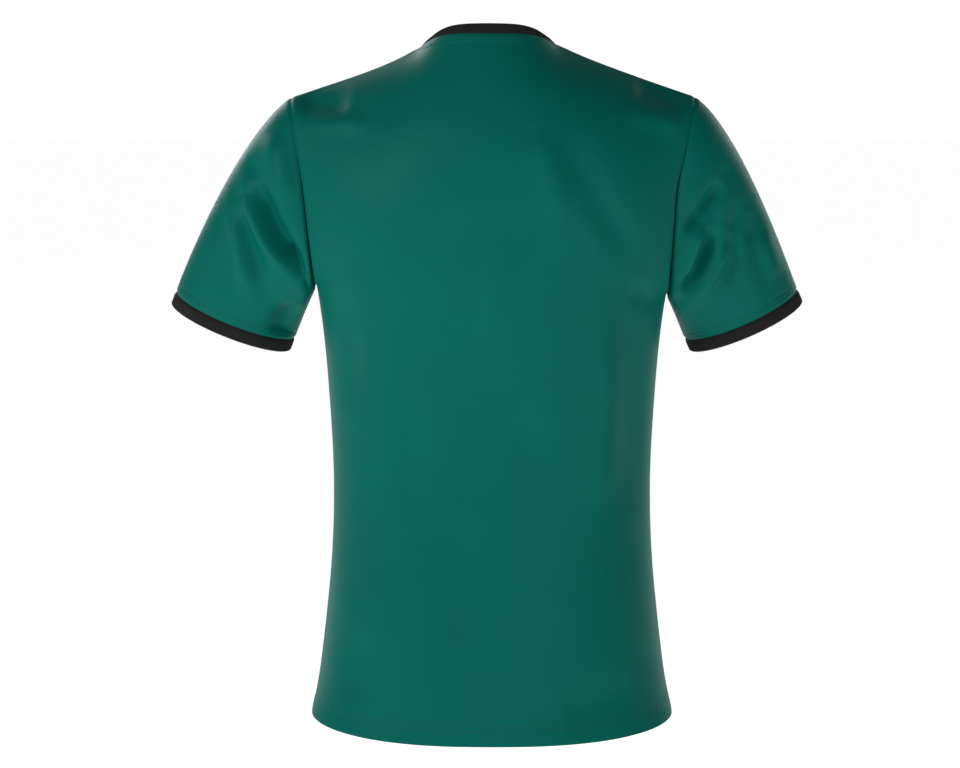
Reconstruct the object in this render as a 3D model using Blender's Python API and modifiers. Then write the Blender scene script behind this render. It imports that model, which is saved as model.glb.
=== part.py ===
"""Short-sleeved football jersey, filled out as if worn, as seven sewn pieces.

The back, the front and the two sleeves are thin walls of polyester knit. The collar
and the two cuffs are narrow bands of ribbed knit. The jersey is hollow: its neck, its
hem and both cuffs are open. Frame: metres, +Z up, +Y to the jersey's front, and the
origin midway between the two points where the shoulder seams meet the collar.
"""
import math
from collections import namedtuple

import bmesh
import bpy
import numpy as np

OBJECT_NAME = "football_jersey"

# Walls and seams.
KNIT_WALL = 0.0015
RIB_WALL = 0.0022
SEAM_GAP = 0.0003
ARMHOLE_GAP = 0.0009        # these three are wider, because the walls meet at an angle
COLLAR_GAP = 0.0008
CUFF_GAP = 0.0005

# Body sections from the hem up to the shoulder blades. half_width is taken at the side
# seam, back and front are the depths of the two panels at the middle.
Section = namedtuple("Section", "height half_width back front")
SECTIONS = (
    Section(height=-0.677, half_width=0.1836, back=0.1275, front=0.1165),
    Section(height=-0.640, half_width=0.1764, back=0.1245, front=0.1150),
    Section(height=-0.580, half_width=0.1686, back=0.1165, front=0.1110),
    Section(height=-0.510, half_width=0.1616, back=0.1070, front=0.1060),
    Section(height=-0.436, half_width=0.1593, back=0.1005, front=0.1040),
    Section(height=-0.355, half_width=0.1621, back=0.1030, front=0.1080),
    Section(height=-0.285, half_width=0.1678, back=0.1090, front=0.1140),
    Section(height=-0.240, half_width=0.1745, back=0.1130, front=0.1165),
    Section(height=-0.140, half_width=0.1840, back=0.1180, front=0.1160),
)
SIDE_ROUNDNESS = 0.80       # 1 is an ellipse, less is a squarer section

HEM_SIDE_HEIGHT = -0.670
BREAST_HEIGHT = -0.235      # the panels' middle, level with the underarm row
CHEST_HEIGHT = -0.140

# What differs between the two panels. direction is the panel's side of the garment,
# armhole is how far its armhole stands off the side seam, neck is the depth of its
# neckline, and neck_drop is how sharply the neckline leaves the collar's side points.
Panel = namedtuple("Panel", "name direction hem_height armhole neck neck_height neck_drop")
BACK = Panel("back", -1, -0.677, 0.055, 0.062, 0.010, 5.0)
FRONT = Panel("front", 1, -0.671, 0.052, 0.088, -0.086, 3.4)

# What differs between the wearer's left and right side. direction is the side's sign
# along X, underarm is the armhole's lowest height, chest is its half width at the chest
# line, tip is the shoulder tip's, and hollow is how far the shoulder line sags below a
# straight one.
Side = namedtuple("Side", "name direction underarm chest tip tip_height neck_height hollow")
LEFT = Side("left", -1, -0.241, 0.1850, 0.1985, -0.0536, -0.0065, 0.0060)
RIGHT = Side("right", 1, -0.250, 0.1800, 0.1998, -0.0526, -0.0035, 0.0030)

# Neckline.
NECK_CENTRE_X = -0.004
NECK_HALF_WIDTH = 0.073
NECK_SHARE = 0.46           # share of a panel's half taken by the neckline
SHOULDER_SEAM_Y = 0.003
COLLAR_HEIGHT = 0.0105
COLLAR_RISE = 0.25          # how far the band turns up from the panels' own slope

# Cuffs. centre is the middle of the sleeve's end, half_width and half_depth are its
# ring's, slant is the outer end's rise, tilt is the back edge's drop and top_reach is how
# far the cloth runs on outwards from the armhole before it turns down.
Cuff = namedtuple("Cuff", "side centre half_width half_depth slant tilt top_reach")
CUFF_LEFT = Cuff(LEFT, (-0.2598, 0.040, -0.2732), 0.0650, 0.050, 0.395, 0.13, 0.29)
CUFF_RIGHT = Cuff(RIGHT, (0.2525, 0.040, -0.2726), 0.0626, 0.050, 0.440, 0.12, 0.26)
CUFF_HEIGHT = 0.0130
CUFF_REACH = 0.12

# Faces across and along each piece. The last facet beside a sewn edge is a narrow one,
# so that the wall's edge stands square to the cloth there.
NECK_COLUMNS = 7
SHOULDER_COLUMNS = 5
BODY_ROWS = 12
ARMHOLE_ROWS = 5
YOKE_ROWS = 7
SLEEVE_ROWS = 9
SEAM_FACET = 0.012
YOKE_PASSES = 3
YOKE_EASE = 0.5

# Finishes: colour, roughness and sheen.
Finish = namedtuple("Finish", "colour roughness sheen")
GREEN_KNIT = Finish((0.004, 0.100, 0.078), 0.42, 0.30)
BLACK_RIB = Finish((0.006, 0.006, 0.007), 0.80, 0.10)


def between(low, high, share):
    return low + (high - low) * share


def section_value(column, height):
    """Reads a column of SECTIONS at a height, along a smooth curve through its rows."""
    heights = [row.height for row in SECTIONS]
    values = [getattr(row, column) for row in SECTIONS]
    slopes = np.gradient(values, heights)
    height = min(max(height, heights[0]), heights[-1])
    row = min(int(np.searchsorted(heights, height, side="right")) - 1, len(heights) - 2)
    step = heights[row + 1] - heights[row]
    s = (height - heights[row]) / step
    rise = s * s * (3.0 - 2.0 * s)
    leave = s * (1.0 - s) ** 2
    arrive = s * s * (s - 1.0)
    return (between(values[row], values[row + 1], rise)
            + step * (leave * slopes[row] + arrive * slopes[row + 1]))


def armhole_point(panel, side, turn):
    """A point of the armhole, from the underarm (turn 0) to the chest line (turn 1)."""
    angle = turn * math.pi / 2.0
    x = between(section_value("half_width", side.underarm), side.chest, turn ** 1.6)
    stand_off = panel.armhole * math.sin(angle) ** 0.7
    height = between(side.underarm, CHEST_HEIGHT, 1.0 - math.cos(angle))
    return x, max(stand_off, SEAM_GAP / 2.0), height


def row_point(panel, side, share, edge, middle_height):
    """A point of a level row, from the panel's middle (share 0) to its edge (share 1)."""
    edge_x, edge_y, edge_height = edge
    depth = section_value(panel.name, middle_height)
    edge_turn = math.acos((edge_y / depth) ** (1.0 / SIDE_ROUNDNESS))
    reach = edge_x / math.sin(edge_turn) ** SIDE_ROUNDNESS
    turn = share * edge_turn
    x = reach * math.sin(turn) ** SIDE_ROUNDNESS
    y = depth * math.cos(turn) ** SIDE_ROUNDNESS
    z = between(middle_height, edge_height, (math.sin(turn) / math.sin(edge_turn)) ** 2)
    return np.array((side.direction * x, panel.direction * y, z))


def body_point(panel, side, share, level):
    """A point below the chest line: level 0 is the hem, 1 the underarm, 2 the chest."""
    if level <= 1.0:
        height = between(HEM_SIDE_HEIGHT, side.underarm, level)
        middle = between(panel.hem_height, BREAST_HEIGHT, level)
        edge = (section_value("half_width", height), SEAM_GAP / 2.0, height)
        return row_point(panel, side, share, edge, middle)
    middle = between(BREAST_HEIGHT, CHEST_HEIGHT, level - 1.0)
    return row_point(panel, side, share, armhole_point(panel, side, level - 1.0), middle)


def neck_point(panel, side, turn):
    """A point of the neckline, from the middle (turn 0) to the shoulder seam (turn 1)."""
    angle = turn * math.pi / 2.0
    x = NECK_CENTRE_X + side.direction * NECK_HALF_WIDTH * math.sin(angle)
    seam = SHOULDER_SEAM_Y + panel.direction * SEAM_GAP / 2.0
    y = between(seam, panel.direction * panel.neck, math.cos(angle))
    z = between(panel.neck_height, side.neck_height, math.sin(angle) ** panel.neck_drop)
    return np.array((x, y, z))


def shoulder_point(panel, side, share):
    """A point of the shoulder seam, from the collar (share 0) to the tip (share 1)."""
    start = neck_point(panel, side, 1.0)
    tip = np.array((side.direction * side.tip, start[1], side.tip_height))
    point = between(start, tip, share)
    point[2] -= side.hollow * 4.0 * share * (1.0 - share) ** 2
    return point


def panel_point(panel, side, share, level):
    """Any point of a panel. Level 2 to 3 is the yoke, which rolls over the shoulder."""
    if level <= 2.0:
        return body_point(panel, side, share, level)
    start = body_point(panel, side, share, 2.0)
    climb = level - 2.0
    if share <= NECK_SHARE:
        neck_turn = share / NECK_SHARE
        end = neck_point(panel, side, neck_turn)
        roll = math.radians(between(52.0, 90.0, neck_turn ** 2))
    else:
        end = shoulder_point(panel, side, (share - NECK_SHARE) / (1.0 - NECK_SHARE))
        roll = math.radians(90.0)
    angle = climb * roll
    drift = between(climb, math.sin(climb * math.pi / 2.0), share)
    across = between(start[0], end[0], drift)
    inward = between(start[1], end[1], (1.0 - math.cos(angle)) / (1.0 - math.cos(roll)))
    upward = between(start[2], end[2], math.sin(angle) / math.sin(roll))
    return np.array((across, inward, upward))


def panel_levels():
    body = np.linspace(0.0, 1.0, BODY_ROWS + 1)
    armhole = np.linspace(1.0, 2.0, ARMHOLE_ROWS + 1)[1:]
    yoke = np.linspace(2.0, 3.0, YOKE_ROWS + 1)[1:]
    return np.concatenate((body, armhole, yoke[:-1], (3.0 - SEAM_FACET, 3.0)))


def half_shares():
    """Shares from the middle to the edge, with one exactly at the collar's side point."""
    neck = np.linspace(0.0, NECK_SHARE, NECK_COLUMNS + 1)
    shoulder = np.linspace(NECK_SHARE, 1.0, SHOULDER_COLUMNS + 1)[1:]
    return np.concatenate((neck, shoulder[:-1], (1.0 - SEAM_FACET, 1.0)))


def relaxed_yoke(rows):
    """Evens out the cloth above the chest line; it stays as it is beside the seams."""
    lowest = BODY_ROWS + ARMHOLE_ROWS
    for _ in range(YOKE_PASSES):
        around = (rows[:-2, 1:-1] + rows[2:, 1:-1] + rows[1:-1, :-2] + rows[1:-1, 2:]) / 4.0
        inside = rows[lowest + 1:-2, 2:-2]
        inside[:] = between(inside, around[lowest:-1, 1:-1], YOKE_EASE)
    return rows


def panel_rows(panel):
    """The panel's points, row by row, from the left edge to the right edge."""
    rows = []
    for level in panel_levels():
        left = [panel_point(panel, LEFT, share, level) for share in half_shares()]
        right = [panel_point(panel, RIGHT, share, level) for share in half_shares()]
        rows.append(left[:0:-1] + right)
    return relaxed_yoke(np.array(rows))


def armhole_loop(side, gap):
    """The sleeve's first ring: up the back edge and down the front, a gap outside."""
    levels = panel_levels()
    levels = levels[levels >= 1.0]
    back = [panel_point(BACK, side, 1.0, level) for level in levels]
    front = [panel_point(FRONT, side, 1.0, level) for level in levels]
    back[0][1] = front[0][1] = 0.0
    back[-1][1] = front[-1][1] = SHOULDER_SEAM_Y
    loop = np.array(back + front[-2:0:-1])
    outward = np.array((side.direction * 0.94, 0.0, -0.34))
    return loop + gap * outward


def cuff_ring(cuff, drop, count):
    """A ring across the sleeve's end, from its inner point round the back."""
    along_width = np.array((cuff.side.direction, 0.0, cuff.slant))
    along_width /= np.linalg.norm(along_width)
    along_depth = np.array((0.0, -1.0, -cuff.tilt))
    along_depth /= np.linalg.norm(along_depth)
    down = np.cross(along_width, along_depth)
    down *= -math.copysign(1.0, down[2])
    centre = np.array(cuff.centre) + drop * down
    ring = []
    for step in range(count):
        angle = 2.0 * math.pi * step / count
        width = -cuff.half_width * math.cos(angle)
        depth = cuff.half_depth * math.sin(angle)
        ring.append(centre + width * along_width + depth * along_depth)
    return np.array(ring)


def sleeve_rows(cuff):
    """Rings from the armhole to the cuff, along smooth curves that leave the shoulder
    outwards and arrive square to the cuff."""
    side = cuff.side
    start = armhole_loop(side, ARMHOLE_GAP)
    end = cuff_ring(cuff, -CUFF_GAP, len(start))
    arrive = cuff_ring(cuff, 1.0, len(start)) - cuff_ring(cuff, 0.0, len(start))
    lowest, highest = start[:, 2].min(), start[:, 2].max()
    rise = ((start[:, 2] - lowest) / (highest - lowest))[:, None]
    under = np.array((side.direction * 0.45, 0.0, -0.89))
    over = np.array((side.direction * 0.80, 0.0, -0.60))
    leave = between(under, over, rise)
    length = np.linalg.norm(end - start, axis=1)[:, None]
    first_handle = start + leave * length * cuff.top_reach
    last_handle = end - arrive * length * CUFF_REACH
    rows = []
    for s in np.linspace(0.0, 1.0, SLEEVE_ROWS + 1):
        rows.append(start * (1 - s) ** 3 + first_handle * 3 * s * (1 - s) ** 2
                    + last_handle * 3 * s * s * (1 - s) + end * s ** 3)
    return rows


def unit(vector):
    return vector / np.linalg.norm(vector)


def collar_stand(panel, side, turn):
    """The direction of the collar band at a point of the neckline."""
    point = neck_point(panel, side, turn)
    below = panel_point(panel, side, turn * NECK_SHARE, 2.98)
    beside = neck_point(panel, side, abs(turn - 0.01))
    along = unit(point - beside)
    onward = unit(point - below)
    onward = unit(onward - along * np.dot(onward, along))
    return unit(between(onward, np.array((0.0, 0.0, 1.0)), COLLAR_RISE))


def collar_rows():
    """Rings of the collar band, standing on the neckline all round from the back's
    middle by the left side."""
    turns = np.linspace(0.0, 1.0, NECK_COLUMNS + 1)
    stations = [(BACK, LEFT, turn) for turn in turns]
    stations += [(FRONT, LEFT, turn) for turn in turns[-2::-1]]
    stations += [(FRONT, RIGHT, turn) for turn in turns[1:]]
    stations += [(BACK, RIGHT, turn) for turn in turns[-2:0:-1]]
    seam = np.array([neck_point(*station) for station in stations])
    stand = np.array([collar_stand(*station) for station in stations])
    return [seam + stand * height
            for height in np.linspace(COLLAR_GAP, COLLAR_HEIGHT, 3)]


def cuff_rows(cuff):
    """Rings of a cuff band, from the sleeve's end down, faceted as the sleeve is."""
    around = len(armhole_loop(cuff.side, ARMHOLE_GAP))
    return [cuff_ring(cuff, drop, around) for drop in np.linspace(0.0, CUFF_HEIGHT, 3)]


def lofted_surface(name, rows, closed):
    """An open mesh surface through rows of points; closed joins each row's two ends."""
    mesh = bmesh.new()
    grid = [[mesh.verts.new(point) for point in row] for row in rows]
    across = len(rows[0]) if closed else len(rows[0]) - 1
    for lower, upper in zip(grid, grid[1:]):
        for column in range(across):
            following = (column + 1) % len(lower)
            mesh.faces.new((lower[column], lower[following],
                            upper[following], upper[column]))
    surface = bpy.data.meshes.new(name)
    mesh.to_mesh(surface)
    mesh.free()
    return surface


def face_outwards(surface, centre):
    """Turns every face over if the surface looks towards its own centre line."""
    outward = sum((face.center.x - centre[0]) * face.normal.x
                  + (face.center.y - centre[1]) * face.normal.y
                  for face in surface.polygons)
    if outward < 0.0:
        surface.flip_normals()


def cloth_piece(name, rows, closed, centre, wall, material, collection):
    """One sewn piece: its lofted outer surface, with the wall's thickness inside it."""
    surface = lofted_surface(name, rows, closed)
    face_outwards(surface, centre)
    surface.shade_smooth()
    surface.materials.append(material)
    piece = bpy.data.objects.new(name, surface)
    collection.objects.link(piece)
    thickness = piece.modifiers.new("wall", "SOLIDIFY")
    thickness.thickness = wall
    thickness.offset = -1.0
    thickness.use_even_offset = False
    return piece


def cloth_material(name, finish):
    material = bpy.data.materials.new(name)
    material.use_nodes = True
    shader = material.node_tree.nodes["Principled BSDF"]
    shader.inputs["Base Color"].default_value = (*finish.colour, 1.0)
    shader.inputs["Roughness"].default_value = finish.roughness
    shader.inputs["Metallic"].default_value = 0.0
    shader.inputs["Sheen Weight"].default_value = finish.sheen
    return material


def clear_scene():
    for thing in list(bpy.data.objects):
        bpy.data.objects.remove(thing, do_unlink=True)


def build_jersey():
    clear_scene()
    collection = bpy.data.collections.new(OBJECT_NAME)
    bpy.context.scene.collection.children.link(collection)
    body_centre = (0.0, 0.0)
    neck_centre = (NECK_CENTRE_X, 0.010)

    for panel in (BACK, FRONT):
        knit = cloth_material(f"{panel.name}_knit", GREEN_KNIT)
        cloth_piece(panel.name, panel_rows(panel), False, body_centre,
                    KNIT_WALL, knit, collection)

    rib = cloth_material("collar_rib", BLACK_RIB)
    cloth_piece("collar", collar_rows(), True, neck_centre, RIB_WALL, rib, collection)

    for cuff in (CUFF_LEFT, CUFF_RIGHT):
        side = cuff.side.name
        knit = cloth_material(f"sleeve_{side}_knit", GREEN_KNIT)
        rib = cloth_material(f"cuff_{side}_rib", BLACK_RIB)
        cloth_piece(f"sleeve_{side}", sleeve_rows(cuff), True, cuff.centre,
                    KNIT_WALL, knit, collection)
        cloth_piece(f"cuff_{side}", cuff_rows(cuff), True, cuff.centre,
                    RIB_WALL, rib, collection)


build_jersey()
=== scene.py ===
import math
from collections import namedtuple

import bmesh
import bpy
import numpy as np
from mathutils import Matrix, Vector


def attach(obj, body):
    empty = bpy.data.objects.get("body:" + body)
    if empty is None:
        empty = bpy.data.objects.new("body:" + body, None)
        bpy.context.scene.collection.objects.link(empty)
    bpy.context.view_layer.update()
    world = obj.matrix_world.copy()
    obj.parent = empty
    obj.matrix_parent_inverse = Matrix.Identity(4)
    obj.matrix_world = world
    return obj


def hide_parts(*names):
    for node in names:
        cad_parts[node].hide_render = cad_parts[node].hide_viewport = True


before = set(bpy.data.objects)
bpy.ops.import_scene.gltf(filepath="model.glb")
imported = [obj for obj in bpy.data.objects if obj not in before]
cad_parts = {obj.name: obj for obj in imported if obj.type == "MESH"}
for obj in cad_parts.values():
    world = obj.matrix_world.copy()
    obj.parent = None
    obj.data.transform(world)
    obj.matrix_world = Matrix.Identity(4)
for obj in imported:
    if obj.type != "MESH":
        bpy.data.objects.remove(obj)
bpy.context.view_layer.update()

scene = bpy.context.scene
scene.view_settings.view_transform = "Standard"

# ---- Camera -------------------------------------------------------------------------
# Straight behind the jersey at neck height and tilted down at its middle, so that the
# flat hem shows as a shallow curve.
CAMERA_PLACE = (-0.012, -2.6, 0.02)
CAMERA_TILT = 7.8615
camera_data = bpy.data.cameras.new("camera")
camera_data.lens = 98.425
camera_data.sensor_width = 36.0
camera = bpy.data.objects.new("camera", camera_data)
camera.location = CAMERA_PLACE
camera.rotation_euler = (math.radians(90.0 - CAMERA_TILT), 0.0, 0.0)
scene.collection.objects.link(camera)
scene.camera = camera

# ---- Studio light -------------------------------------------------------------------
# A large soft key light behind the jersey on its left, a weak fill near the camera and
# two lights in front, so that every side can be seen. The surroundings are white to the
# camera, but light the cloth only dimly, which keeps its colour deep.
Lamp = namedtuple("Lamp", "name place power size")
LAMPS = (
    Lamp("key", (-2.1, -2.2, 0.8), 42.0, 1.1),
    Lamp("fill", (1.0, -2.8, 0.2), 7.0, 1.6),
    Lamp("front_left", (-1.6, 2.4, 0.8), 36.0, 1.5),
    Lamp("front_right", (1.9, 2.2, 0.5), 20.0, 1.5),
)
LAMP_AIM = (0.0, 0.0, -0.33)
for lamp in LAMPS:
    light = bpy.data.lights.new(lamp.name, "AREA")
    light.energy = lamp.power
    light.shape = "DISK"
    light.size = lamp.size
    lamp_object = bpy.data.objects.new(lamp.name, light)
    lamp_object.location = lamp.place
    towards = Vector(LAMP_AIM) - Vector(lamp.place)
    lamp_object.rotation_euler = towards.to_track_quat("-Z", "Y").to_euler()
    scene.collection.objects.link(lamp_object)

AMBIENT = 0.10
BACKDROP_BRIGHTNESS = 1.05
world = bpy.data.worlds.new("studio")
scene.world = world
world.use_nodes = True
nodes = world.node_tree.nodes
links = world.node_tree.links
dim = nodes["Background"]
dim.inputs["Color"].default_value = (1.0, 1.0, 1.0, 1.0)
dim.inputs["Strength"].default_value = AMBIENT
white = nodes.new("ShaderNodeBackground")
white.inputs["Color"].default_value = (1.0, 1.0, 1.0, 1.0)
white.inputs["Strength"].default_value = BACKDROP_BRIGHTNESS
ray = nodes.new("ShaderNodeLightPath")
mix = nodes.new("ShaderNodeMixShader")
links.new(ray.outputs["Is Camera Ray"], mix.inputs["Fac"])
links.new(dim.outputs[0], mix.inputs[1])
links.new(white.outputs[0], mix.inputs[2])
links.new(mix.outputs[0], nodes["World Output"].inputs["Surface"])

# ---- Floor --------------------------------------------------------------------------
# A plain white studio floor far below the jersey.
FLOOR_HEIGHT = -1.45
FLOOR_SIZE = 60.0
PAPER_GLOW = 0.9
bpy.ops.mesh.primitive_plane_add(size=FLOOR_SIZE, location=(0.0, 0.0, FLOOR_HEIGHT))
floor = bpy.context.object
floor.name = "studio_floor"
paper = bpy.data.materials.new("white_paper")
paper.use_nodes = True
paper_shader = paper.node_tree.nodes["Principled BSDF"]
paper_shader.inputs["Base Color"].default_value = (0.8, 0.8, 0.8, 1.0)
paper_shader.inputs["Roughness"].default_value = 1.0
paper_shader.inputs["Emission Color"].default_value = (1.0, 1.0, 1.0, 1.0)
paper_shader.inputs["Emission Strength"].default_value = PAPER_GLOW
floor.data.materials.append(paper)

# ---- Back and front panels ----------------------------------------------------------
# Two cut panels of satin-faced polyester knit, sewn together down the sides and along
# the shoulders. Each hem is turned up once and held by two rows of coverstitch.
KNIT_THICKNESS = 0.0011

# The body's sections from the hem up. half_width is taken at the side seam, back and
# front are the depths of the two panels at the middle.
Section = namedtuple("Section", "height half_width back front")
SECTIONS = (
    Section(height=-0.677, half_width=0.1836, back=0.1275, front=0.1165),
    Section(height=-0.640, half_width=0.1764, back=0.1245, front=0.1150),
    Section(height=-0.580, half_width=0.1686, back=0.1165, front=0.1110),
    Section(height=-0.510, half_width=0.1616, back=0.1070, front=0.1060),
    Section(height=-0.436, half_width=0.1593, back=0.1005, front=0.1040),
    Section(height=-0.355, half_width=0.1628, back=0.1030, front=0.1080),
    Section(height=-0.285, half_width=0.1684, back=0.1090, front=0.1140),
    Section(height=-0.240, half_width=0.1745, back=0.1130, front=0.1165),
    Section(height=-0.140, half_width=0.1840, back=0.1180, front=0.1160),
)
SIDE_ROUNDNESS = 0.80       # 1 is an ellipse, less is a squarer section
HEM_SIDE_HEIGHT = -0.670
BREAST_HEIGHT = -0.235
CHEST_HEIGHT = -0.140

# direction is the panel's side of the garment, armhole is how far its armhole stands off
# the side seam, neck is the depth of its neckline and neck_drop is how sharply the
# neckline leaves the shoulder seams.
Panel = namedtuple("Panel", "name direction hem_height armhole neck neck_height neck_drop")
BACK = Panel("back", -1, -0.677, 0.055, 0.062, 0.010, 5.0)
FRONT = Panel("front", 1, -0.671, 0.052, 0.088, -0.086, 3.4)

# underarm is the armhole's lowest height, chest is the half width at the chest line, tip
# is the shoulder tip's, and hollow is how far the shoulder line sags.
Side = namedtuple("Side", "name direction underarm chest tip tip_height neck_height hollow")
LEFT = Side("left", -1, -0.241, 0.1850, 0.1985, -0.0536, -0.0045, 0.0060)
RIGHT = Side("right", 1, -0.250, 0.1800, 0.1998, -0.0526, -0.0015, 0.0030)

NECK_CENTRE_X = -0.004
NECK_HALF_WIDTH = 0.067
NECK_SHARE = 0.46           # share of a panel's half taken by the neckline
SHOULDER_SEAM_Y = 0.003
BODY_ROWS = 12
ARMHOLE_ROWS = 5
YOKE_ROWS = 7
NECK_COLUMNS = 7
SHOULDER_COLUMNS = 5
YOKE_PASSES = 4
YOKE_EASE = 0.5
EDGE_OPENING = 0.0002       # left between two sewn edges

# Soft folds, seen from behind the jersey (side -1) or from its front (side 1). path is
# the fold's line as (x, z) points, width is half its breadth and depth is how far it
# sinks before FOLD_STRENGTH; a ridge has a negative depth.
Fold = namedtuple("Fold", "side width depth path")
BODY_FOLDS = (
    Fold(-1, 0.016, 0.0022, ((0.065, -0.070), (0.101, -0.147), (0.142, -0.205))),
    Fold(-1, 0.014, -0.0020, ((0.044, -0.080), (0.055, -0.125), (0.066, -0.180))),
    Fold(-1, 0.011, 0.0030, ((-0.196, -0.058), (-0.165, -0.056), (-0.130, -0.060))),
    Fold(-1, 0.009, -0.0016, ((-0.190, -0.080), (-0.150, -0.077), (-0.110, -0.080))),
    Fold(-1, 0.012, 0.0032, ((0.130, -0.042), (0.165, -0.047), (0.197, -0.060))),
    Fold(-1, 0.010, -0.0018, ((0.120, -0.070), (0.160, -0.074), (0.190, -0.086))),
    Fold(-1, 0.020, 0.0030, ((0.128, -0.200), (0.140, -0.330), (0.134, -0.500))),
    Fold(-1, 0.015, -0.0018, ((0.108, -0.250), (0.112, -0.370), (0.104, -0.470))),
    Fold(-1, 0.014, 0.0022, ((-0.155, -0.225), (-0.140, -0.290), (-0.142, -0.380))),
    Fold(-1, 0.018, 0.0012, ((-0.070, -0.260), (-0.078, -0.380), (-0.066, -0.520))),
    Fold(-1, 0.017, 0.0011, ((0.030, -0.330), (0.042, -0.430), (0.036, -0.560))),
    Fold(-1, 0.015, 0.0013, ((-0.020, -0.440), (-0.032, -0.520), (-0.028, -0.600))),
    Fold(-1, 0.016, -0.0012, ((0.000, -0.150), (0.004, -0.230), (-0.004, -0.300))),
    Fold(-1, 0.020, 0.0020, ((0.060, -0.650), (0.100, -0.640), (0.146, -0.615))),
    Fold(-1, 0.016, 0.0016, ((-0.120, -0.560), (-0.132, -0.610), (-0.128, -0.655))),
    Fold(-1, 0.011, 0.0016, ((0.168, -0.262), (0.150, -0.245), (0.128, -0.236))),
    Fold(1, 0.018, 0.0030, ((0.168, -0.245), (0.120, -0.300), (0.085, -0.375))),
    Fold(1, 0.016, 0.0026, ((-0.172, -0.238), (-0.130, -0.280), (-0.100, -0.340))),
    Fold(1, 0.013, -0.0018, ((0.150, -0.285), (0.112, -0.345), (0.090, -0.410))),
    Fold(1, 0.018, 0.0018, ((-0.135, -0.380), (-0.120, -0.480), (-0.128, -0.590))),
    Fold(1, 0.016, 0.0015, ((0.120, -0.450), (0.110, -0.540), (0.118, -0.630))),
    Fold(1, 0.019, 0.0012, ((0.030, -0.380), (0.036, -0.480), (0.026, -0.600))),
    Fold(1, 0.016, 0.0011, ((-0.045, -0.300), (-0.052, -0.420), (-0.040, -0.520))),
    Fold(1, 0.011, 0.0026, ((-0.196, -0.070), (-0.160, -0.074), (-0.125, -0.090))),
    Fold(1, 0.011, 0.0026, ((0.120, -0.086), (0.160, -0.072), (0.197, -0.072))),
)


FOLD_STRENGTH = 1.9
FOLD_END = 0.35             # share of a fold's length over which each end fades
FOLD_END_DEPTH = 0.18       # what is left of its depth there
FACING_START = 0.05         # a fold shows where the cloth faces its side by more than this
FACING_FULL = 0.55
SEAM_HOLD = 0.012           # how far from a seam the cloth is held flat
FOLD_STEPS = 12


def between(low, high, share):
    return low + (high - low) * share


def smooth_step(low, high, value):
    share = np.clip((value - low) / (high - low), 0.0, 1.0)
    return share * share * (3.0 - 2.0 * share)


def section_value(column, height):
    """Reads a column of SECTIONS at a height, along a smooth curve through its rows."""
    heights = [row.height for row in SECTIONS]
    values = [getattr(row, column) for row in SECTIONS]
    slopes = np.gradient(values, heights)
    height = min(max(height, heights[0]), heights[-1])
    row = min(int(np.searchsorted(heights, height, side="right")) - 1, len(heights) - 2)
    step = heights[row + 1] - heights[row]
    s = (height - heights[row]) / step
    rise = s * s * (3.0 - 2.0 * s)
    leave = s * (1.0 - s) ** 2
    arrive = s * s * (s - 1.0)
    return (between(values[row], values[row + 1], rise)
            + step * (leave * slopes[row] + arrive * slopes[row + 1]))


def armhole_point(panel, side, turn):
    """A point of the armhole, from the underarm (turn 0) to the chest line (turn 1)."""
    angle = turn * math.pi / 2.0
    x = between(section_value("half_width", side.underarm), side.chest, turn ** 1.6)
    stand_off = panel.armhole * math.sin(angle) ** 0.7
    height = between(side.underarm, CHEST_HEIGHT, 1.0 - math.cos(angle))
    return x, max(stand_off, EDGE_OPENING / 2.0), height


def row_point(panel, side, share, edge, middle_height):
    """A point of a level row, from the panel's middle (share 0) to its edge (share 1)."""
    edge_x, edge_y, edge_height = edge
    depth = section_value(panel.name, middle_height)
    edge_turn = math.acos((edge_y / depth) ** (1.0 / SIDE_ROUNDNESS))
    reach = edge_x / math.sin(edge_turn) ** SIDE_ROUNDNESS
    turn = share * edge_turn
    x = reach * math.sin(turn) ** SIDE_ROUNDNESS
    y = depth * math.cos(turn) ** SIDE_ROUNDNESS
    z = between(middle_height, edge_height, (math.sin(turn) / math.sin(edge_turn)) ** 2)
    return np.array((side.direction * x, panel.direction * y, z))


def body_point(panel, side, share, level):
    """A point below the chest line: level 0 is the hem, 1 the underarm, 2 the chest."""
    if level <= 1.0:
        height = between(HEM_SIDE_HEIGHT, side.underarm, level)
        middle = between(panel.hem_height, BREAST_HEIGHT, level)
        edge = (section_value("half_width", height), EDGE_OPENING / 2.0, height)
        return row_point(panel, side, share, edge, middle)
    middle = between(BREAST_HEIGHT, CHEST_HEIGHT, level - 1.0)
    return row_point(panel, side, share, armhole_point(panel, side, level - 1.0), middle)


def neck_point(panel, side, turn):
    """A point of the neckline, from the middle (turn 0) to the shoulder seam (turn 1)."""
    angle = turn * math.pi / 2.0
    x = NECK_CENTRE_X + side.direction * NECK_HALF_WIDTH * math.sin(angle)
    seam = SHOULDER_SEAM_Y + panel.direction * EDGE_OPENING / 2.0
    y = between(seam, panel.direction * panel.neck, math.cos(angle))
    z = between(panel.neck_height, side.neck_height, math.sin(angle) ** panel.neck_drop)
    return np.array((x, y, z))


def shoulder_point(panel, side, share):
    """A point of the shoulder seam, from the collar (share 0) to the tip (share 1)."""
    start = neck_point(panel, side, 1.0)
    tip = np.array((side.direction * side.tip, start[1], side.tip_height))
    point = between(start, tip, share)
    point[2] -= side.hollow * 4.0 * share * (1.0 - share) ** 2
    return point


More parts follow.
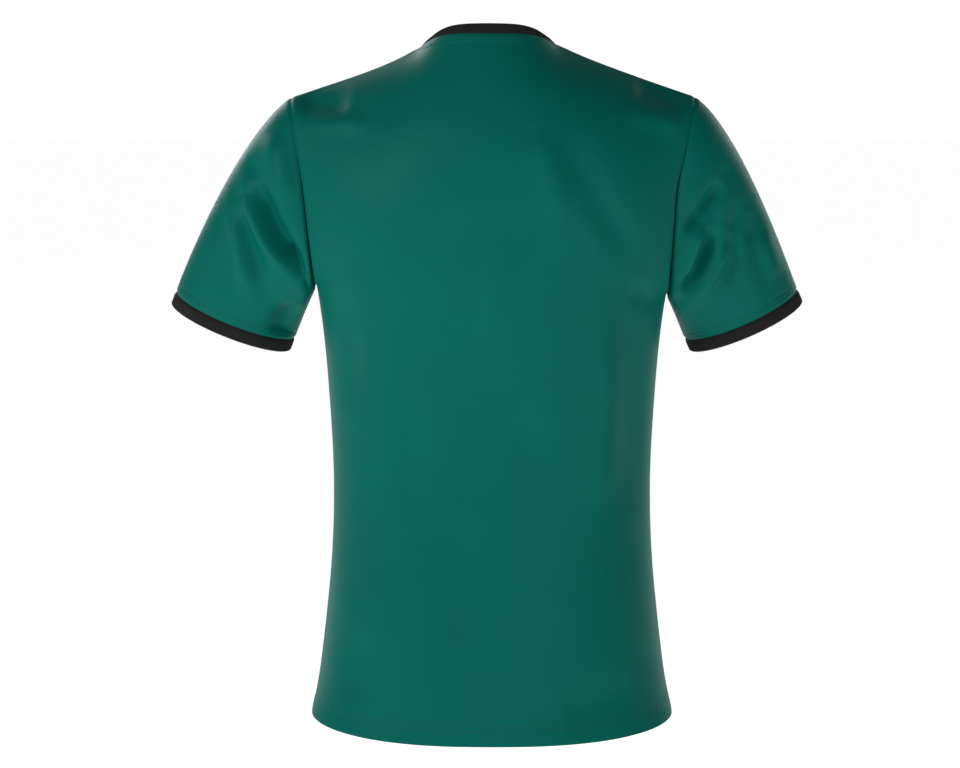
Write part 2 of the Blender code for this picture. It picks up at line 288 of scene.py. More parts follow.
def panel_point(panel, side, share, level):
    """Any point of a panel. Level 2 to 3 is the yoke, which rolls over the shoulder."""
    if level <= 2.0:
        return body_point(panel, side, share, level)
    start = body_point(panel, side, share, 2.0)
    climb = level - 2.0
    if share <= NECK_SHARE:
        neck_turn = share / NECK_SHARE
        end = neck_point(panel, side, neck_turn)
        roll = math.radians(between(52.0, 90.0, neck_turn ** 2))
    else:
        end = shoulder_point(panel, side, (share - NECK_SHARE) / (1.0 - NECK_SHARE))
        roll = math.radians(90.0)
    angle = climb * roll
    drift = between(climb, math.sin(climb * math.pi / 2.0), share)
    across = between(start[0], end[0], drift)
    inward = between(start[1], end[1], (1.0 - math.cos(angle)) / (1.0 - math.cos(roll)))
    upward = between(start[2], end[2], math.sin(angle) / math.sin(roll))
    return np.array((across, inward, upward))


def panel_levels():
    body = np.linspace(0.0, 1.0, BODY_ROWS + 1)
    armhole = np.linspace(1.0, 2.0, ARMHOLE_ROWS + 1)[1:]
    yoke = np.linspace(2.0, 3.0, YOKE_ROWS + 1)[1:]
    return np.concatenate((body, armhole, yoke))


def half_shares():
    neck = np.linspace(0.0, NECK_SHARE, NECK_COLUMNS + 1)
    shoulder = np.linspace(NECK_SHARE, 1.0, SHOULDER_COLUMNS + 1)[1:]
    return np.concatenate((neck, shoulder))


def relaxed_yoke(rows):
    """Evens out the cloth above the chest line, all but its sewn edges."""
    lowest = BODY_ROWS + ARMHOLE_ROWS
    for _ in range(YOKE_PASSES):
        around = (rows[:-2, 1:-1] + rows[2:, 1:-1] + rows[1:-1, :-2] + rows[1:-1, 2:]) / 4.0
        inside = rows[lowest + 1:-1, 1:-1]
        inside[:] = between(inside, around[lowest:], YOKE_EASE)
    return rows


def panel_rows(panel):
    rows = []
    for level in panel_levels():
        left = [panel_point(panel, LEFT, share, level) for share in half_shares()]
        right = [panel_point(panel, RIGHT, share, level) for share in half_shares()]
        rows.append(left[:0:-1] + right)
    return relaxed_yoke(np.array(rows))


def smooth_rows(points, places):
    """Reads rows of points at fractional places, along smooth curves through them."""
    last = len(points) - 1
    ends = (2.0 * points[:1] - points[1:2], points, 2.0 * points[-1:] - points[-2:-1])
    padded = np.concatenate(ends)
    index = np.clip(places.astype(int), 0, last - 1)
    s = (places - index)[:, None, None]
    a, b, c, d = (padded[index + step] for step in range(4))
    return 0.5 * (2.0 * b + (c - a) * s + (2.0 * a - 5.0 * b + 4.0 * c - d) * s ** 2
                  + (3.0 * b - a - 3.0 * c + d) * s ** 3)


EDGE_SHARES = np.array((0.08, 0.18, 0.30, 0.45, 0.65))


def places_along(last, count):
    """Places from 0 to last, with a few close together beside each edge of the cloth."""
    places = np.linspace(0.0, last, count + 1)
    fine = EDGE_SHARES * places[1]
    return np.concatenate((places[:1], fine, places[1:-1], last - fine[::-1], places[-1:]))


EASING_ROWS = 91
EASING_COLUMNS = 81
EASING_PASSES = 45
EASING = 0.8


def eased_panel(rows):
    """An even, close grid through the rows with its bends spread out; its edges stay."""
    rows = smooth_rows(rows, np.linspace(0.0, len(rows) - 1, EASING_ROWS))
    turned = rows.swapaxes(0, 1)
    columns = np.linspace(0.0, len(turned) - 1, EASING_COLUMNS)
    rows = smooth_rows(turned, columns).swapaxes(0, 1)
    for _ in range(EASING_PASSES):
        around = (rows[:-2, 1:-1] + rows[2:, 1:-1] + rows[1:-1, :-2] + rows[1:-1, 2:]) / 4.0
        rows[1:-1, 1:-1] = between(rows[1:-1, 1:-1], around, EASING)
    return rows


def fine_cloth(rows, row_count, column_count, closed):
    """The rows as a fine grid of points. A closed grid's columns go all the way round."""
    fine = smooth_rows(rows, places_along(len(rows) - 1, row_count))
    turned = fine.swapaxes(0, 1)
    if not closed:
        columns = places_along(len(turned) - 1, column_count)
        return smooth_rows(turned, columns).swapaxes(0, 1)
    around = len(turned)
    wrapped = np.concatenate((turned[-2:], turned, turned[:3]))
    columns = np.linspace(0.0, around, column_count + 1)
    return smooth_rows(wrapped, columns + 2.0).swapaxes(0, 1)


def lengths_to_edges(grid):
    """Lengths along the cloth from each point to its bottom, top, left and right edge."""
    up = np.linalg.norm(np.diff(grid, axis=0), axis=2)
    across = np.linalg.norm(np.diff(grid, axis=1), axis=2)
    from_bottom = np.vstack((np.zeros(grid.shape[1]), np.cumsum(up, axis=0)))
    from_left = np.hstack((np.zeros((grid.shape[0], 1)), np.cumsum(across, axis=1)))
    return (from_bottom, from_bottom[-1] - from_bottom,
            from_left, from_left[:, -1:] - from_left)


def outward_normals(grid, closed, centre):
    up = np.gradient(grid, axis=0)
    across = np.gradient(grid, axis=1)
    if closed:
        across[:, 0] = across[:, -1] = (grid[:, 1] - grid[:, -2]) / 2.0
    normals = np.cross(across, up)
    normals /= np.linalg.norm(normals, axis=2)[..., None]
    outward = ((grid - centre) * normals)[..., :2].sum()
    return normals if outward > 0.0 else -normals


def distance_to_path(grid, path):
    """Distance from every point to a curve through three (x, z) points, and the share
    along it."""
    points = grid[..., [0, 2]]
    nearest = np.full(points.shape[:2], np.inf)
    share = np.zeros(points.shape[:2])
    a, b, c = (np.array(point) for point in path)
    steps = np.linspace(0.0, 1.0, FOLD_STEPS + 1)[:, None]
    handle = 2.0 * b - (a + c) / 2.0
    line = a * (1 - steps) ** 2 + 2.0 * handle * steps * (1 - steps) + c * steps ** 2
    for step, (start, end) in enumerate(zip(line, line[1:])):
        along = end - start
        place = np.clip(((points - start) @ along) / (along @ along), 0.0, 1.0)
        gap = np.linalg.norm(points - start - place[..., None] * along, axis=2)
        closer = gap < nearest
        nearest = np.where(closer, gap, nearest)
        share = np.where(closer, (step + place) / FOLD_STEPS, share)
    return nearest, share


def fold_depths(grid, normals, folds, edge_length):
    """How far every point sinks for the folds. A fold fades out towards its two ends,
    towards the outline and beside the seams that hold the cloth."""
    sink = np.zeros(grid.shape[:2])
    for fold in folds:
        gap, share = distance_to_path(grid, fold.path)
        fade = smooth_step(0.0, FOLD_END, share) * smooth_step(1.0, 1.0 - FOLD_END, share)
        fade = np.maximum(fade, FOLD_END_DEPTH)
        facing = smooth_step(FACING_START, FACING_FULL, normals[..., 1] * fold.side)
        hollow = np.exp(-(gap / fold.width) ** 2)
        sink += FOLD_STRENGTH * fold.depth * fade * facing * hollow
    return sink * smooth_step(0.0, SEAM_HOLD, edge_length)


def cloth_mesh(name, grid, along, across, closed, normals):
    """A mesh through the grid, with a UV map in metres along and across the cloth."""
    count_rows, count_columns = grid.shape[:2]
    used = count_columns - 1 if closed else count_columns
    points = grid[:, :used].reshape(-1, 3)
    faces = []
    corners = []
    for row in range(count_rows - 1):
        for column in range(count_columns - 1):
            following = (column + 1) % used
            faces.append((row * used + column, row * used + following,
                          (row + 1) * used + following, (row + 1) * used + column))
            corners += ((row, column), (row, column + 1),
                        (row + 1, column + 1), (row + 1, column))
    mesh = bpy.data.meshes.new(name)
    mesh.from_pydata(points.tolist(), [], faces)
    corners = np.array(corners)
    flat = np.stack((across, along), axis=2)[corners[:, 0], corners[:, 1]]
    mesh.uv_layers.new(name="cloth").data.foreach_set("uv", flat.astype(np.float32).ravel())
    mesh.update()
    middle = len(mesh.polygons) // 2
    row, column = divmod(middle, count_columns - 1)
    if np.dot(mesh.polygons[middle].normal, normals[row, column]) < 0.0:
        mesh.flip_normals()
    mesh.shade_smooth()
    return mesh


def add_piece(name, mesh, material, thickness):
    """The piece as an object, with any thickness laid on the cloth's inner side."""
    piece = bpy.data.objects.new(name, mesh)
    scene.collection.objects.link(piece)
    mesh.materials.append(material)
    if thickness:
        wall = piece.modifiers.new("thickness", "SOLIDIFY")
        wall.thickness = thickness
        wall.offset = -1.0
    return piece


def knit_material(name, colour):
    """Satin-faced knit: fine wales and courses in metres of cloth, a soft sheen and a
    slightly uneven colour."""
    material = bpy.data.materials.new(name)
    material.use_nodes = True
    tree = material.node_tree
    shader = tree.nodes["Principled BSDF"]
    shader.inputs["Roughness"].default_value = 0.46
    shader.inputs["Specular IOR Level"].default_value = 0.10
    shader.inputs["IOR"].default_value = 1.33
    shader.inputs["Anisotropic"].default_value = 0.2
    shader.inputs["Sheen Weight"].default_value = 0.04
    shader.inputs["Sheen Roughness"].default_value = 0.45
    shader.inputs["Sheen Tint"].default_value = (0.05, 0.85, 0.70, 1.0)
    place = tree.nodes.new("ShaderNodeUVMap")
    place.uv_map = "cloth"
    wales = tree.nodes.new("ShaderNodeTexWave")
    wales.bands_direction = "X"
    wales.inputs["Scale"].default_value = 380.0
    wales.inputs["Distortion"].default_value = 0.6
    wales.inputs["Detail"].default_value = 1.0
    tree.links.new(place.outputs["UV"], wales.inputs["Vector"])
    courses = tree.nodes.new("ShaderNodeTexWave")
    courses.bands_direction = "Y"
    courses.inputs["Scale"].default_value = 330.0
    tree.links.new(place.outputs["UV"], courses.inputs["Vector"])
    loops = tree.nodes.new("ShaderNodeMath")
    loops.operation = "ADD"
    tree.links.new(wales.outputs["Fac"], loops.inputs[0])
    tree.links.new(courses.outputs["Fac"], loops.inputs[1])
    cloudy = tree.nodes.new("ShaderNodeTexNoise")
    cloudy.inputs["Scale"].default_value = 9.0
    cloudy.inputs["Detail"].default_value = 3.0
    tree.links.new(place.outputs["UV"], cloudy.inputs["Vector"])
    tint = tree.nodes.new("ShaderNodeMix")
    tint.data_type = "RGBA"
    tint.inputs[6].default_value = (*(value * 0.90 for value in colour), 1.0)
    tint.inputs[7].default_value = (*(value * 1.10 for value in colour), 1.0)
    tree.links.new(cloudy.outputs["Fac"], tint.inputs["Factor"])
    tree.links.new(tint.outputs[2], shader.inputs["Base Color"])
    bump = tree.nodes.new("ShaderNodeBump")
    bump.inputs["Strength"].default_value = 0.12
    bump.inputs["Distance"].default_value = 0.0002
    tree.links.new(loops.outputs[0], bump.inputs["Height"])
    tree.links.new(bump.outputs["Normal"], shader.inputs["Normal"])
    return material


GREEN = (0.0006, 0.124, 0.098)
green_knit = knit_material("green_satin_knit", GREEN)

PANEL_ROWS = 190
PANEL_COLUMNS = 160
HEM_LINES = (0.0155, 0.0205)        # the two stitch rows, above the turned edge
NECK_LINES = (0.0055, 0.0105)       # and below the collar's seam
STITCH_LIFT = 0.0001
HEM_RAISE = 0.0005                  # the turned hem is double, so it stands proud
HEM_RAISE_FROM = 0.0155
HEM_RAISE_FULL = 0.010
NECK_RIDGE = 0.0005                 # the seam allowance under the two neck rows
NECK_RIDGE_PLACE = 0.0080
NECK_RIDGE_WIDTH = 0.0014
PUCKER_DEPTH = 0.00022              # the ripple that the hem's stitches draw up
PUCKER_PITCH = 0.011
PUCKER_PLACE = 0.018
PUCKER_REACH = 0.006
SEAM_DITCH = 0.0016
SEAM_DITCH_WIDTH = 0.0022
Cut = namedtuple("Cut", "flat area")
stitch_paths = {}


def bell(length, place, width):
    return np.exp(-((length - place) / width) ** 2)


def seam_ditch(length):
    """How far the cloth rolls in beside a seam."""
    return SEAM_DITCH * bell(length, 0.0, SEAM_DITCH_WIDTH)


def stitched_groove(length, place, depth=0.0005, width=0.0009):
    return depth * bell(length, place, width)


def stitch_line(grid, normals, length, place):
    """Points across the cloth at one length from an edge, lifted just off it."""
    line = []
    for column in range(grid.shape[1]):
        order = np.argsort(length[:, column])
        lengths = length[order, column]
        point = [np.interp(place, lengths, grid[order, column, axis]) for axis in range(3)]
        normal = [np.interp(place, lengths, normals[order, column, axis])
                  for axis in range(3)]
        line.append(np.array(point) + STITCH_LIFT * np.array(normal))
    return np.array(line)


# The columns of a panel's grid that end at the neckline and not at a shoulder seam.
NECK_PART = (abs(places_along(1.0, PANEL_COLUMNS) - 0.5)
             < NECK_COLUMNS / (2.0 * (NECK_COLUMNS + SHOULDER_COLUMNS)))
BODY_CENTRE = np.zeros(3)

for panel in (BACK, FRONT):
    grid = fine_cloth(eased_panel(panel_rows(panel)), PANEL_ROWS, PANEL_COLUMNS, False)
    bottom, top, left, right = lengths_to_edges(grid)
    normals = outward_normals(grid, False, BODY_CENTRE)
    edge = np.minimum(np.minimum(left, right), top)
    sink = fold_depths(grid, normals, BODY_FOLDS, edge)
    sink += seam_ditch(edge)
    sink += sum(stitched_groove(bottom, place) for place in HEM_LINES)
    sink -= HEM_RAISE * smooth_step(HEM_RAISE_FROM, HEM_RAISE_FULL, bottom)
    for place in NECK_LINES:
        sink += stitched_groove(top, place) * NECK_PART
    sink -= NECK_RIDGE * bell(top, NECK_RIDGE_PLACE, NECK_RIDGE_WIDTH) * NECK_PART
    uneven = 1.7 * np.sin(left * 31.0)
    pucker = np.sin(left * 2.0 * math.pi / PUCKER_PITCH + uneven)
    sink += PUCKER_DEPTH * pucker * bell(bottom, PUCKER_PLACE, PUCKER_REACH)
    shaped = grid - normals * sink[..., None]
    shaped_normals = outward_normals(shaped, False, BODY_CENTRE)
    middle = left[:, left.shape[1] // 2][:, None]
    mesh = cloth_mesh(panel.name, shaped, bottom, left - middle, False, shaped_normals)
    piece = add_piece(f"{panel.name}_panel", mesh, green_knit, KNIT_THICKNESS)
    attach(piece, "root")
    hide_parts(panel.name)
    for number, place in enumerate(HEM_LINES):
        stitch_paths[f"{panel.name}_hem_{number}"] = stitch_line(
            shaped, shaped_normals, bottom, place)

    for number, place in enumerate(NECK_LINES):
        stitch_paths[f"{panel.name}_neck_{number}"] = stitch_line(
            shaped[:, NECK_PART], shaped_normals[:, NECK_PART], top[:, NECK_PART], place)

# ---- Sleeves ------------------------------------------------------------------------
# Two tubes of the same knit, set into the armholes. They hang down and a little
# outwards, and the cloth folds from the shoulder down into each armpit.

# centre is the middle of the sleeve's end, half_width and half_depth are its ring's,
# slant is the outer end's rise, tilt is the back edge's drop and top_reach is how far
# the cloth runs on outwards from the armhole before it turns down.
Cuff = namedtuple("Cuff", "side centre half_width half_depth slant tilt top_reach")
CUFF_LEFT = Cuff(LEFT, (-0.2592, 0.040, -0.2732), 0.0644, 0.050, 0.395, 0.13, 0.29)
CUFF_RIGHT = Cuff(RIGHT, (0.2519, 0.040, -0.2726), 0.0620, 0.050, 0.440, 0.12, 0.26)
CUFF_REACH = 0.12
ARMHOLE_OPENING = 0.0003
SLEEVE_ROWS = 9
SLEEVE_FINE_ROWS = 120
SLEEVE_COLUMNS = 250
SLEEVE_LINES = (0.0095, 0.0050)     # the two stitch rows, above the cuff's seam
LOWER_GROOVE = 0.0003
SLEEVE_FOLDS = {
    "left": (
        Fold(-1, 0.0080, 0.0075, ((-0.234, -0.122), (-0.212, -0.180), (-0.178, -0.232))),
        Fold(-1, 0.0085, -0.0050, ((-0.240, -0.138), (-0.226, -0.184), (-0.194, -0.226))),
        Fold(-1, 0.0075, 0.0050, ((-0.206, -0.194), (-0.194, -0.212), (-0.178, -0.236))),
        Fold(-1, 0.0080, 0.0040, ((-0.250, -0.152), (-0.238, -0.196), (-0.220, -0.246))),
        Fold(-1, 0.0085, -0.0026, ((-0.262, -0.160), (-0.250, -0.205), (-0.236, -0.256))),
        Fold(-1, 0.0080, 0.0020, ((-0.266, -0.160), (-0.262, -0.205), (-0.268, -0.262))),
        Fold(-1, 0.0120, -0.0030, ((-0.215, -0.080), (-0.208, -0.120), (-0.200, -0.165))),
        Fold(-1, 0.0120, 0.0040, ((-0.196, -0.250), (-0.206, -0.275), (-0.214, -0.300))),
        Fold(1, 0.0090, 0.0060, ((-0.232, -0.135), (-0.214, -0.185), (-0.182, -0.228))),
        Fold(1, 0.0090, -0.0036, ((-0.244, -0.150), (-0.230, -0.196), (-0.200, -0.238))),
        Fold(1, 0.0085, 0.0034, ((-0.254, -0.150), (-0.246, -0.200), (-0.234, -0.250))),
    ),
    "right": (
        Fold(-1, 0.0080, 0.0050, ((0.228, -0.128), (0.208, -0.160), (0.184, -0.192))),
        Fold(-1, 0.0070, -0.0040, ((0.206, -0.168), (0.197, -0.205), (0.186, -0.242))),
        Fold(-1, 0.0075, 0.0066, ((0.219, -0.170), (0.203, -0.216), (0.184, -0.252))),
        Fold(-1, 0.0075, -0.0044, ((0.234, -0.186), (0.218, -0.222), (0.198, -0.250))),
        Fold(-1, 0.0090, 0.0026, ((0.240, -0.140), (0.238, -0.195), (0.228, -0.250))),
        Fold(-1, 0.0090, 0.0022, ((0.252, -0.158), (0.262, -0.200), (0.276, -0.246))),
        Fold(-1, 0.0100, -0.0020, ((0.262, -0.180), (0.272, -0.210), (0.284, -0.240))),
        Fold(1, 0.0090, 0.0058, ((0.230, -0.140), (0.212, -0.188), (0.184, -0.232))),
        Fold(1, 0.0090, -0.0034, ((0.242, -0.156), (0.226, -0.200), (0.200, -0.240))),
        Fold(1, 0.0085, 0.0030, ((0.252, -0.150), (0.246, -0.205), (0.236, -0.255))),
    ),
}


def armhole_loop(side, gap):
    """The sleeve's first ring: up the back edge and down the front, a gap outside."""
    levels = panel_levels()
    levels = levels[levels >= 1.0]
    back = [panel_point(BACK, side, 1.0, level) for level in levels]
    front = [panel_point(FRONT, side, 1.0, level) for level in levels]
    back[0][1] = front[0][1] = 0.0
    back[-1][1] = front[-1][1] = SHOULDER_SEAM_Y
    loop = np.array(back + front[-2:0:-1])
    return loop + gap * np.array((side.direction * 0.94, 0.0, -0.34))


def cuff_ring(cuff, drop, count):
    """A ring across the sleeve's end, from its inner point round the back."""
    along_width = np.array((cuff.side.direction, 0.0, cuff.slant))
    along_width /= np.linalg.norm(along_width)
    along_depth = np.array((0.0, -1.0, -cuff.tilt))
    along_depth /= np.linalg.norm(along_depth)
    down = np.cross(along_width, along_depth)
    down *= -math.copysign(1.0, down[2])
    centre = np.array(cuff.centre) + drop * down
    angles = 2.0 * math.pi * np.arange(count)[:, None] / count
    return (centre - cuff.half_width * np.cos(angles) * along_width
            + cuff.half_depth * np.sin(angles) * along_depth)


def sleeve_rows(cuff):
    """Rings from the armhole to the cuff, along smooth curves."""
    side = cuff.side
    start = armhole_loop(side, ARMHOLE_OPENING)
    end = cuff_ring(cuff, -EDGE_OPENING, len(start))
    arrive = cuff_ring(cuff, 1.0, len(start)) - cuff_ring(cuff, 0.0, len(start))
    lowest, highest = start[:, 2].min(), start[:, 2].max()
    rise = ((start[:, 2] - lowest) / (highest - lowest))[:, None]
    under = np.array((side.direction * 0.45, 0.0, -0.89))
    over = np.array((side.direction * 0.80, 0.0, -0.60))
    leave = between(under, over, rise)
    length = np.linalg.norm(end - start, axis=1)[:, None]
    first_handle = start + leave * length * cuff.top_reach
    last_handle = end - arrive * length * CUFF_REACH
    rows = [start * (1 - s) ** 3 + first_handle * 3 * s * (1 - s) ** 2
            + last_handle * 3 * s * s * (1 - s) + end * s ** 3
            for s in np.linspace(0.0, 1.0, SLEEVE_ROWS + 1)]
    return np.array(rows)


for cuff in (CUFF_LEFT, CUFF_RIGHT):
    side = cuff.side.name
    grid = fine_cloth(sleeve_rows(cuff), SLEEVE_FINE_ROWS, SLEEVE_COLUMNS, True)
    from_armhole, from_cuff, around, _ = lengths_to_edges(grid)
    centre = np.array(cuff.centre)
    normals = outward_normals(grid, True, centre)
    edge = np.minimum(from_armhole, from_cuff)
    sink = fold_depths(grid, normals, SLEEVE_FOLDS[side], edge)
    sink += seam_ditch(edge)
    sink += stitched_groove(from_cuff, SLEEVE_LINES[0])
    sink += stitched_groove(from_cuff, SLEEVE_LINES[1], LOWER_GROOVE)
    shaped = grid - normals * sink[..., None]
    shaped_normals = outward_normals(shaped, True, centre)
    mesh = cloth_mesh(f"sleeve_{side}", shaped, from_cuff, around, True, shaped_normals)
    piece = add_piece(f"sleeve_{side}_cloth", mesh, green_knit, KNIT_THICKNESS)
    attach(piece, "root")
    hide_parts(f"sleeve_{side}")
    for number, place in enumerate(SLEEVE_LINES):
        stitch_paths[f"sleeve_{side}_{number}"] = stitch_line(
            shaped, shaped_normals, from_cuff, place)

# ---- Collar and cuffs ---------------------------------------------------------------
# Narrow bands of black one-by-one rib, each a strip folded double and sewn on by its
# raw edges, so its free edge is a soft round fold. The ribs run across the band.
RIB_WALL = 0.0022
RIB_PITCH = 0.0021
RIB_HEIGHT = 0.00028
RIB_FADE = 0.0015               # the ribs flatten into the seam over this height
POINTS_PER_RIB = 6
OUTER_POINTS = 8                # of the band's section: up its outer face,
FOLD_POINTS = 6                 # round the folded edge
INNER_POINTS = 4                # and down its inner face
RING_STEPS = 2001
CUFF_HEIGHT = 0.0130
CUFF_OVERLAP = 0.0004
CUFF_POINTS = 24
COLLAR_HEIGHT = 0.0105
COLLAR_RISE = 0.25              # how far the band turns up from the panels' own slope
COLLAR_LEAN = 0.85            # how far the band's sides lean in towards the neck
BLACK = (0.0065, 0.0065, 0.0070)


def rib_material(name, colour):
    """Matt rib knit with fine courses; the ribs themselves are in the mesh."""
    material = bpy.data.materials.new(name)
    material.use_nodes = True
    tree = material.node_tree
    shader = tree.nodes["Principled BSDF"]
    shader.inputs["Base Color"].default_value = (*colour, 1.0)
    shader.inputs["Roughness"].default_value = 0.82
    shader.inputs["Specular IOR Level"].default_value = 0.25
    shader.inputs["Sheen Weight"].default_value = 0.12
    place = tree.nodes.new("ShaderNodeUVMap")
    place.uv_map = "cloth"
    courses = tree.nodes.new("ShaderNodeTexWave")
    courses.bands_direction = "Y"
    courses.inputs["Scale"].default_value = 420.0
    courses.inputs["Distortion"].default_value = 1.0
    tree.links.new(place.outputs["UV"], courses.inputs["Vector"])
    bump = tree.nodes.new("ShaderNodeBump")
    bump.inputs["Strength"].default_value = 0.25
    bump.inputs["Distance"].default_value = 0.0002
    tree.links.new(courses.outputs["Fac"], bump.inputs["Height"])
    tree.links.new(bump.outputs["Normal"], shader.inputs["Normal"])
    return material


black_rib = rib_material("black_rib_knit", BLACK)


def unit(vector):
    return vector / np.linalg.norm(vector)


def collar_stand(panel, side, turn):
    """The direction of the collar band at a point of the neckline."""
    point = neck_point(panel, side, turn)
    below = panel_point(panel, side, turn * NECK_SHARE, 2.98)
    beside = neck_point(panel, side, abs(turn - 0.01))
    along = unit(point - beside)
    onward = unit(point - below)
    onward = unit(onward - along * np.dot(onward, along))
    risen = unit(between(onward, np.array((0.0, 0.0, 1.0)), COLLAR_RISE))
    lean = COLLAR_LEAN * math.sin(turn * math.pi / 2.0) ** 2
    return unit(risen - np.array((side.direction * lean, 0.0, 0.0)))


def collar_rings():
    """The collar's seam and its folded edge, all round from the back's middle."""
    turns = np.linspace(0.0, 1.0, NECK_COLUMNS + 1)
    stations = [(BACK, LEFT, turn) for turn in turns]
    stations += [(FRONT, LEFT, turn) for turn in turns[-2::-1]]
    stations += [(FRONT, RIGHT, turn) for turn in turns[1:]]
    stations += [(BACK, RIGHT, turn) for turn in turns[-2:0:-1]]
    seam = np.array([neck_point(*station) for station in stations])
    stand = np.array([collar_stand(*station) for station in stations])
    return [seam + stand * height for height in (-EDGE_OPENING, COLLAR_HEIGHT)]


class Ring:
    """A smooth closed curve through points, which can be read at even spacing."""

    def __init__(self, points):
        self.wrapped = np.concatenate((points[-2:], points, points[:3]))[:, None]
        self.places = np.linspace(0.0, len(points), RING_STEPS)
        dense = self.at(self.places)
        steps = np.linalg.norm(np.diff(dense, axis=0), axis=1)
        self.lengths = np.concatenate(((0.0,), np.cumsum(steps)))
        self.length = self.lengths[-1]

    def at(self, places):
        return smooth_rows(self.wrapped, 2.0 + places)[:, 0]

    def even(self, count):
        wanted = np.linspace(0.0, self.length, count + 1)[:-1]
        return self.at(np.interp(wanted, self.lengths, self.places))


def band_section(height):
    """The section of a folded band as (height above the seam, depth inwards) points."""
    half = RIB_WALL / 2.0
    straight = height - half
    section = [(share * straight, 0.0) for share in np.linspace(0.0, 1.0, OUTER_POINTS)]
    for step in range(1, FOLD_POINTS):
        angle = math.pi * step / FOLD_POINTS
        section.append((straight + half * math.sin(angle), half - half * math.cos(angle)))
    down = np.linspace(1.0, 0.0, INNER_POINTS)
    return section + [(share * straight, RIB_WALL) for share in down]


def band_piece(name, node, seam_points, free_points, centre):
    """A folded ribbed band between two rings, as one closed mesh."""
    seam_ring = Ring(seam_points)
    length = seam_ring.length
    count = int(round(length / RIB_PITCH)) * POINTS_PER_RIB
    seam = seam_ring.even(count)
    rise = Ring(free_points).even(count) - seam
    height = np.linalg.norm(rise, axis=1).mean()
    rise /= np.linalg.norm(rise, axis=1)[:, None]
    tangent = np.roll(seam, -1, axis=0) - np.roll(seam, 1, axis=0)
    outward = np.cross(tangent, rise)
    outward /= np.linalg.norm(outward, axis=1)[:, None]
    if ((seam - centre) * outward)[:, :2].sum() < 0.0:
        outward = -outward
    section = band_section(height)
    half = RIB_WALL / 2.0
    phase = 2.0 * math.pi * np.arange(count) / POINTS_PER_RIB
    ripple = RIB_HEIGHT * np.cos(phase)
    grid = []
    for climb, inward in section:
        outer_share = 1.0 - inward / half
        sink = inward + seam_ditch(climb) * (inward < half)
        push = ripple * smooth_step(0.0, RIB_FADE, climb) * outer_share - sink
        grid.append(seam + rise * climb + outward * push[:, None])
    grid = np.array(grid)
    loops = len(grid)
    faces = [(row * count + column, row * count + (column + 1) % count,
              ((row + 1) % loops) * count + (column + 1) % count,
              ((row + 1) % loops) * count + column)
             for row in range(loops) for column in range(count)]
    mesh = bpy.data.meshes.new(name)
    mesh.from_pydata(grid.reshape(-1, 3).tolist(), [], faces)
    around = np.linspace(0.0, length, count + 1)
    climbs = np.array([climb - inward for climb, inward in section] + [-RIB_WALL])
    corners = [((around[column], climbs[row]), (around[column + 1], climbs[row]),
             (around[column + 1], climbs[row + 1]), (around[column], climbs[row + 1]))
            for row in range(loops) for column in range(count)]
    layer = mesh.uv_layers.new(name="cloth")
    layer.data.foreach_set("uv", np.array(corners, np.float32).ravel())
    shell = bmesh.new()
    shell.from_mesh(mesh)
    bmesh.ops.recalc_face_normals(shell, faces=shell.faces)
    shell.to_mesh(mesh)
    shell.free()
    mesh.shade_smooth()
    piece = add_piece(name, mesh, black_rib, 0.0)
    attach(piece, "root")
    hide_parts(node)


collar_seam, collar_edge = collar_rings()
neck_centre = np.array((NECK_CENTRE_X, 0.010, 0.0))
band_piece("collar_band", "collar", collar_seam, collar_edge, neck_centre)
for cuff in (CUFF_LEFT, CUFF_RIGHT):
    side = cuff.side.name
    cuff_seam = cuff_ring(cuff, -CUFF_OVERLAP, CUFF_POINTS)
    cuff_edge = cuff_ring(cuff, CUFF_HEIGHT, CUFF_POINTS)
    band_piece(f"cuff_{side}_band", f"cuff_{side}", cuff_seam, cuff_edge,
               np.array(cuff.centre))

# ---- Stitches -----------------------------------------------------------------------
# Rows of green polyester thread, each stitch a short round-ended length that is pulled
# a little into the cloth, with a gap where the thread goes under.
STITCH_STEP = 0.0030
STITCH_LENGTH = 0.0024
THREAD_THICKNESS = 0.00042


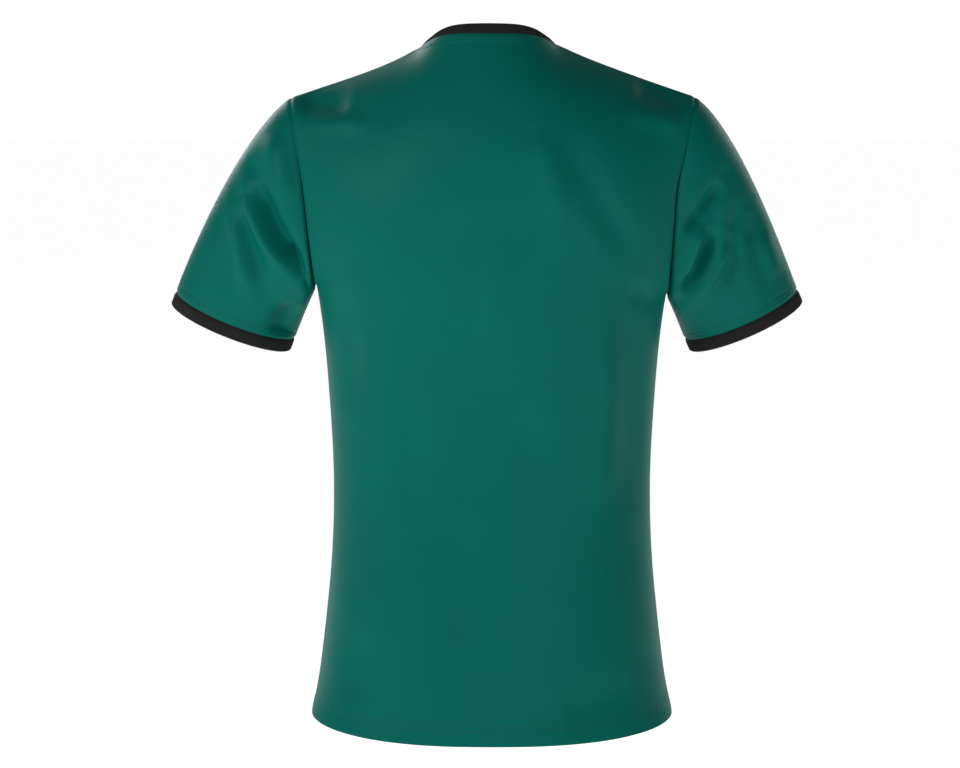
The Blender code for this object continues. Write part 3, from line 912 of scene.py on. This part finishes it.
def thread_nodes():
    """Geometry nodes that lay stitches along the edges of a mesh line."""
    group = bpy.data.node_groups.new("thread_stitches", "GeometryNodeTree")
    face = group.interface
    face.new_socket("Geometry", in_out="INPUT", socket_type="NodeSocketGeometry")
    for label in ("Step", "Length", "Thickness"):
        face.new_socket(label, in_out="INPUT", socket_type="NodeSocketFloat")
    face.new_socket("Thread", in_out="INPUT", socket_type="NodeSocketMaterial")
    face.new_socket("Geometry", in_out="OUTPUT", socket_type="NodeSocketGeometry")
    add = group.nodes.new
    start, end = add("NodeGroupInput"), add("NodeGroupOutput")
    curve = add("GeometryNodeMeshToCurve")
    spread = add("GeometryNodeResampleCurve")
    spread.mode = "LENGTH"
    stitch = add("GeometryNodeMeshUVSphere")
    stitch.inputs["Segments"].default_value = 8
    stitch.inputs["Rings"].default_value = 5
    stitch.inputs["Radius"].default_value = 0.5
    size = add("ShaderNodeCombineXYZ")
    tangent = add("GeometryNodeInputTangent")
    turn = add("FunctionNodeAlignRotationToVector")
    turn.axis = "Z"
    lay = add("GeometryNodeInstanceOnPoints")
    real = add("GeometryNodeRealizeInstances")
    smooth = add("GeometryNodeSetShadeSmooth")
    finish = add("GeometryNodeSetMaterial")
    link = group.links.new
    link(start.outputs["Geometry"], curve.inputs["Mesh"])
    link(curve.outputs["Curve"], spread.inputs["Curve"])
    link(start.outputs["Step"], spread.inputs["Length"])
    link(spread.outputs["Curve"], lay.inputs["Points"])
    link(stitch.outputs["Mesh"], lay.inputs["Instance"])
    link(tangent.outputs["Tangent"], turn.inputs["Vector"])
    link(turn.outputs["Rotation"], lay.inputs["Rotation"])
    link(start.outputs["Thickness"], size.inputs["X"])
    link(start.outputs["Thickness"], size.inputs["Y"])
    link(start.outputs["Length"], size.inputs["Z"])
    link(size.outputs["Vector"], lay.inputs["Scale"])
    link(lay.outputs["Instances"], real.inputs["Geometry"])
    link(real.outputs["Geometry"], smooth.inputs["Geometry"])
    link(smooth.outputs["Geometry"], finish.inputs["Geometry"])
    link(start.outputs["Thread"], finish.inputs["Material"])
    link(finish.outputs["Geometry"], end.inputs["Geometry"])
    return group


thread = bpy.data.materials.new("green_thread")
thread.use_nodes = True
thread_shader = thread.node_tree.nodes["Principled BSDF"]
thread_shader.inputs["Base Color"].default_value = (*(value * 0.9 for value in GREEN), 1.0)
thread_shader.inputs["Roughness"].default_value = 0.5
laying = thread_nodes()


def sewn(name, paths):
    """One piece with the stitches along all of the paths."""
    points = []
    edges = []
    for path in paths:
        first = len(points)
        points += [tuple(point) for point in path]
        edges += [(first + step, first + step + 1) for step in range(len(path) - 1)]
    mesh = bpy.data.meshes.new(name)
    mesh.from_pydata(points, edges, [])
    lines = bpy.data.objects.new(name + "_lines", mesh)
    scene.collection.objects.link(lines)
    modifier = lines.modifiers.new("stitches", "NODES")
    modifier.node_group = laying
    values = {"Step": STITCH_STEP, "Length": STITCH_LENGTH,
              "Thickness": THREAD_THICKNESS, "Thread": thread}
    for item in laying.interface.items_tree:
        if item.in_out == "INPUT" and item.name in values:
            modifier[item.identifier] = values[item.name]
    shown = lines.evaluated_get(bpy.context.evaluated_depsgraph_get())
    made = bpy.data.meshes.new_from_object(shown)
    bpy.data.objects.remove(lines)
    piece = bpy.data.objects.new(name, made)
    scene.collection.objects.link(piece)
    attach(piece, "root")


sewn("hem_stitches", [path for name, path in stitch_paths.items() if "hem" in name])
sewn("neck_stitches", [path for name, path in stitch_paths.items() if "neck" in name])
sewn("sleeve_stitches", [path for name, path in stitch_paths.items() if "sleeve" in name])
